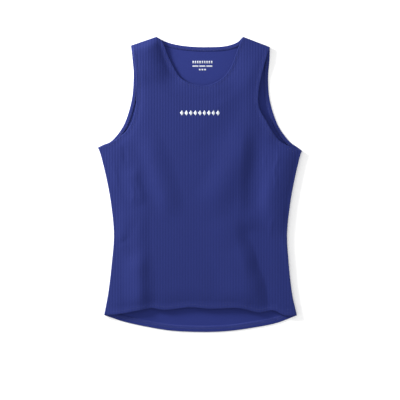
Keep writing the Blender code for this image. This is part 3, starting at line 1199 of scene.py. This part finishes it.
@dataclass
class NeckMark(FilmMark):
    """Rows of plain bars on the inside of the back, below the neck."""

    center_x: float = 5.0
    rows: tuple[Bars, ...] = (
        Bars(y=244.5, count=9, pitch=4.6, width=2.6, height=5.0),
        Bars(y=236.5, count=3, pitch=13.8, width=11.8, height=2.6),
        Bars(y=229.5, count=3, pitch=5.4, width=3.2, height=3.2),
    )

    def build(self, finish: FilmFinish) -> bpy.types.Object:
        """Makes the rows of bars."""
        bm = bmesh.new()
        for row in self.rows:
            half_width, half_height = row.width / 2, row.height / 2
            bar = np.array([(-half_width, -half_height), (half_width, -half_height),
                            (half_width, half_height), (-half_width, half_height)])
            for i in range(row.count):
                offset = (i - (row.count - 1) / 2) * row.pitch
                self.press(bm, bar + (self.center_x + offset, row.y))
        return self.finish(bm, finish)


@dataclass
class Studio:
    """The pale floor, the soft light from the upper left and the camera straight above."""

    view_width: float = 800.0
    center: tuple[float, float] = (0.0, -31.0)
    distance: float = 2400.0
    sensor: float = 36.0
    floor_size: float = 6000.0
    floor_drop: float = 0.1
    world_strength: float = 0.96
    key_place: tuple[float, float, float] = (-1460.0, 865.0, 460.0)
    key_size: float = 460.0
    key_power: float = 76.0

    def build(self, paper: PaperFinish) -> None:
        """Makes the floor, the lights and the camera."""
        bm = bmesh.new()
        bmesh.ops.create_grid(bm, x_segments=8, y_segments=8, size=self.floor_size / 2)
        bmesh.ops.translate(bm, vec=(0, 0, -self.floor_drop), verts=bm.verts)
        finished("floor", bm, paper.material())
        self.light()
        camera = bpy.data.cameras.new("camera")
        camera.sensor_width = self.sensor
        camera.lens = self.sensor * self.distance / self.view_width
        viewer = bpy.data.objects.new("camera", camera)
        viewer.location = Vector((*self.center, self.distance)) * MM
        bpy.context.scene.collection.objects.link(viewer)
        bpy.context.scene.camera = viewer
        bpy.context.scene.view_settings.view_transform = "Standard"

    def light(self) -> None:
        """Makes the large lamp and the even light of the room."""
        lamp = bpy.data.lights.new("key", "AREA")
        lamp.shape = "DISK"
        lamp.size = self.key_size * MM
        lamp.energy = self.key_power
        key = bpy.data.objects.new("key", lamp)
        key.location = Vector(self.key_place) * MM
        key.rotation_euler = (-Vector(self.key_place)).to_track_quat("-Z", "Y").to_euler()
        bpy.context.scene.collection.objects.link(key)
        world = bpy.data.worlds.new("room")
        world.use_nodes = True
        world.node_tree.nodes["Background"].inputs["Color"].default_value = (1.0, 1.0, 1.0, 1.0)
        world.node_tree.nodes["Background"].inputs["Strength"].default_value = self.world_strength
        bpy.context.scene.world = world


@dataclass
class Garment:
    """The whole top: two panels, their seams and stitching, and the film on them."""

    cloth: Cloth = field(default_factory=Cloth)
    hem_gauge: float = 5.6
    edge_gauge: float = 3.2
    seam_space: float = 1.0

    def __post_init__(self) -> None:
        """Reads the heights of the layers from the frame."""
        back_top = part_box("back_panel")[1].z / MM
        self.seam_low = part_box("side_left_seam")[0].z / MM
        self.seam_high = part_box("side_left_seam")[1].z / MM
        front_base = self.seam_high + self.seam_space
        self.front = Panel("front_cloth", Side.FRONT, FRONT_CUT, FrontLie(self.cloth, front_base),
                           self.cloth, 0.5 * (back_top + front_base), self.nodes(Side.FRONT))
        self.back = Panel("back_cloth", Side.BACK, BACK_CUT, BackLie(self.cloth, back_top),
                          self.cloth, 0.5 * (back_top + front_base), self.nodes(Side.BACK),
                          row_step=9.0)

    @staticmethod
    def nodes(side: Side) -> tuple[str, ...]:
        """The solids that a panel and its turned edges stand for."""
        prefix = side.name.lower()
        turned = [f"{prefix}_{edge.value}_turning" for edge in Edge if edge.is_turned]
        return (f"{prefix}_panel", *turned)

    def build(self) -> list[bpy.types.Object]:
        """Makes every piece of the garment and returns them."""
        # The front's knit has stronger painted shade in its rib grooves than the other knits.
        front_knit = KnitFinish("front_knit", (0.0057, 0.0130, 0.108), painted_groove_shade=0.12)
        back_knit = KnitFinish("back_knit", (0.0072, 0.0153, 0.126))
        turned_knit = KnitFinish("turned_knit", (0.0060, 0.0132, 0.103))
        thread = ThreadFinish("thread", (0.0085, 0.0175, 0.118))
        film = FilmFinish("white_film", (0.52, 0.55, 0.60))
        front, back = self.front.build(front_knit), self.back.build(back_knit)
        pieces = [front, back]
        for edge in Edge:
            if edge.is_turned:
                gauge = self.hem_gauge if edge is Edge.HEM else self.edge_gauge
                for panel in (self.front, self.back):
                    name = f"{panel.side.name.lower()}_{edge.value}_stitching"
                    pieces.append(CoverStitch(name, panel, edge, gauge).build(thread))
            else:
                seam = SeamAllowance(edge.value + "_seam", self.back.lines[edge],
                                     self.seam_low, self.seam_high)
                pieces += seam.build(turned_knit, thread)
        chest = ChestMark("chest_mark", self.front.lie.face, self.cloth.rib_pitch)
        neck = NeckMark("neck_mark", self.back.lie.reverse, self.cloth.rib_pitch)
        pieces += [chest.build(film), neck.build(film)]
        return pieces


def main() -> None:
    """Builds the studio and the garment."""
    logging.basicConfig(level=logging.INFO, format="%(message)s")
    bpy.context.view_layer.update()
    Studio().build(PaperFinish("paper", (0.97, 0.97, 0.97)))
    for piece in Garment().build():
        log.info("%s: %d faces", piece.name, len(piece.data.polygons))


if __name__ == "__main__":
    main()
